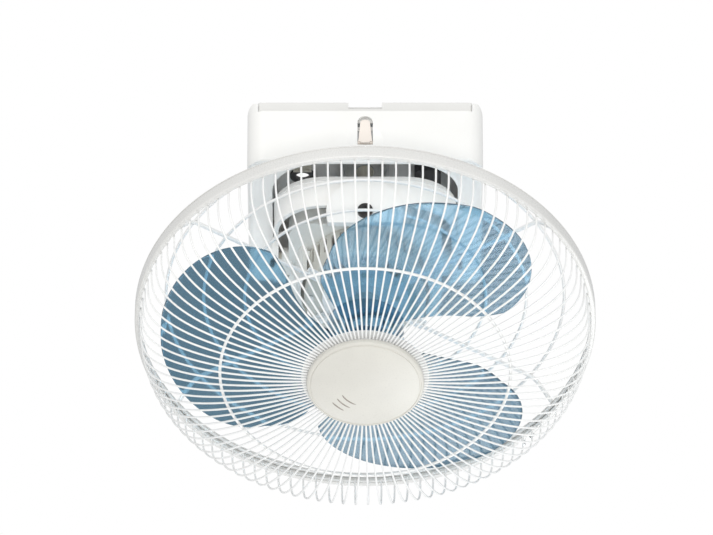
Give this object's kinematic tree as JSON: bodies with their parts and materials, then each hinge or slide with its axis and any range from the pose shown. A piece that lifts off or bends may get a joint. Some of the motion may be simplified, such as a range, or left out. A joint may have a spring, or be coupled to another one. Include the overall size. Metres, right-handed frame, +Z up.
{
  "type": "orbital ceiling fan",
  "caption": "Ceiling mounted orbital fan: square base cover, gimbal ring, motor head with wire guard, hub cap and wide translucent paddle blades",
  "frame": {"origin": "centre of the ceiling plate's upper face, where the fan meets the ceiling", "axes": "+Z up to the ceiling, -Y is the front with the release tab, +X right as seen from the front"},
  "size_m": [0.45, 0.4426, 0.3116],
  "materials": {
    "plate_paint": "light grey painted pressed steel, satin",
    "zinc_steel": "zinc plated steel",
    "pivot_steel": "black oxide steel, satin",
    "guide_plastic": "natural nylon, matte",
    "grommet_rubber": "black rubber",
    "black_plastic": "black case, matte",
    "cover_plastic": "white moulded plastic, soft gloss",
    "tab_plastic": "pale warm moulded plastic",
    "yoke_paint": "white painted pressed steel",
    "motor_can": "plated steel can",
    "motor_paint": "white painted die casting",
    "lamination_steel": "stacked electrical steel, dark",
    "copper_wire": "enamelled copper wire",
    "bearing_steel": "ground steel",
    "guard_paint": "white powder coated steel wire",
    "band_plastic": "white plastic band, gloss",
    "cap_plastic": "ivory moulded plastic, soft gloss",
    "blade_plastic": "translucent light blue moulded plastic, gloss",
    "nut_plastic": "light blue moulded plastic"
  },
  "bodies": {
    "base": {"ceiling_plate": "plate_paint", "hanger_bracket": "zinc_steel", "hanger_bolts": "zinc_steel", "drive_post": "guide_plastic", "cable_grommet": "grommet_rubber", "terminal_block": "guide_plastic", "run_capacitor": "black_plastic", "base_cover": "cover_plastic", "roll_pins": "pivot_steel", "roll_nuts": "zinc_steel"},
    "tab": {"release_tab": "tab_plastic"},
    "gimbal": {"gimbal_ring": "cover_plastic", "roll_bushes": "guide_plastic", "pitch_pins": "pivot_steel", "pitch_clips": "zinc_steel"},
    "head": {"head_yoke": "yoke_paint", "pitch_bushes": "guide_plastic", "orbit_gear_motor": "motor_can", "gear_motor_screws": "zinc_steel", "motor_rear_cover": "motor_paint", "motor_front_cover": "motor_paint", "motor_screws": "zinc_steel", "stator_core": "lamination_steel", "stator_coils": "copper_wire", "rear_bearing": "bearing_steel", "front_bearing": "bearing_steel", "guard_plate": "guard_paint", "guard_nut": "cover_plastic", "rear_struts": "guard_paint", "rear_rings": "guard_paint", "rim_rings": "guard_paint", "trim_band": "band_plastic", "band_clamp": "zinc_steel", "front_rings": "guard_paint", "front_wires": "guard_paint", "cap_plate": "guard_paint", "cap_screws": "zinc_steel", "hub_cap": "cap_plastic"},
    "rotor": {"motor_shaft": "bearing_steel", "rotor_core": "lamination_steel", "drive_pin": "bearing_steel", "blade_set": "blade_plastic", "blade_nut": "nut_plastic"},
    "crank": {"orbit_crank": "bearing_steel"}
  },
  "joints": [
    {"name": "tab_release", "type": "hinge", "parent": "base", "child": "tab", "pos_m": [0, -0.1105, -0.046], "axis": [1, 0, 0], "range_deg": [0, 12], "stiffness_Nm_per_rad": 0.05, "springref_deg": -11.46},
    {"name": "ring_roll", "type": "hinge", "parent": "base", "child": "gimbal", "pos_m": [0, 0, -0.114], "axis": [0, 1, 0], "range_deg": [-15, 15]},
    {"name": "head_pitch", "type": "hinge", "parent": "gimbal", "child": "head", "pos_m": [0, 0, -0.114], "axis": [1, 0, 0], "range_deg": [0, 30]},
    {"name": "rotor_spin", "type": "hinge", "parent": "head", "child": "rotor", "pos_m": [0, 0, -0.114], "axis": [0, -0.2588, -0.9659], "continuous": true},
    {"name": "orbit_crank_turn", "type": "hinge", "parent": "head", "child": "crank", "pos_m": [0, 0, -0.114], "axis": [0, -0.2588, -0.9659], "continuous": true}
  ]
}
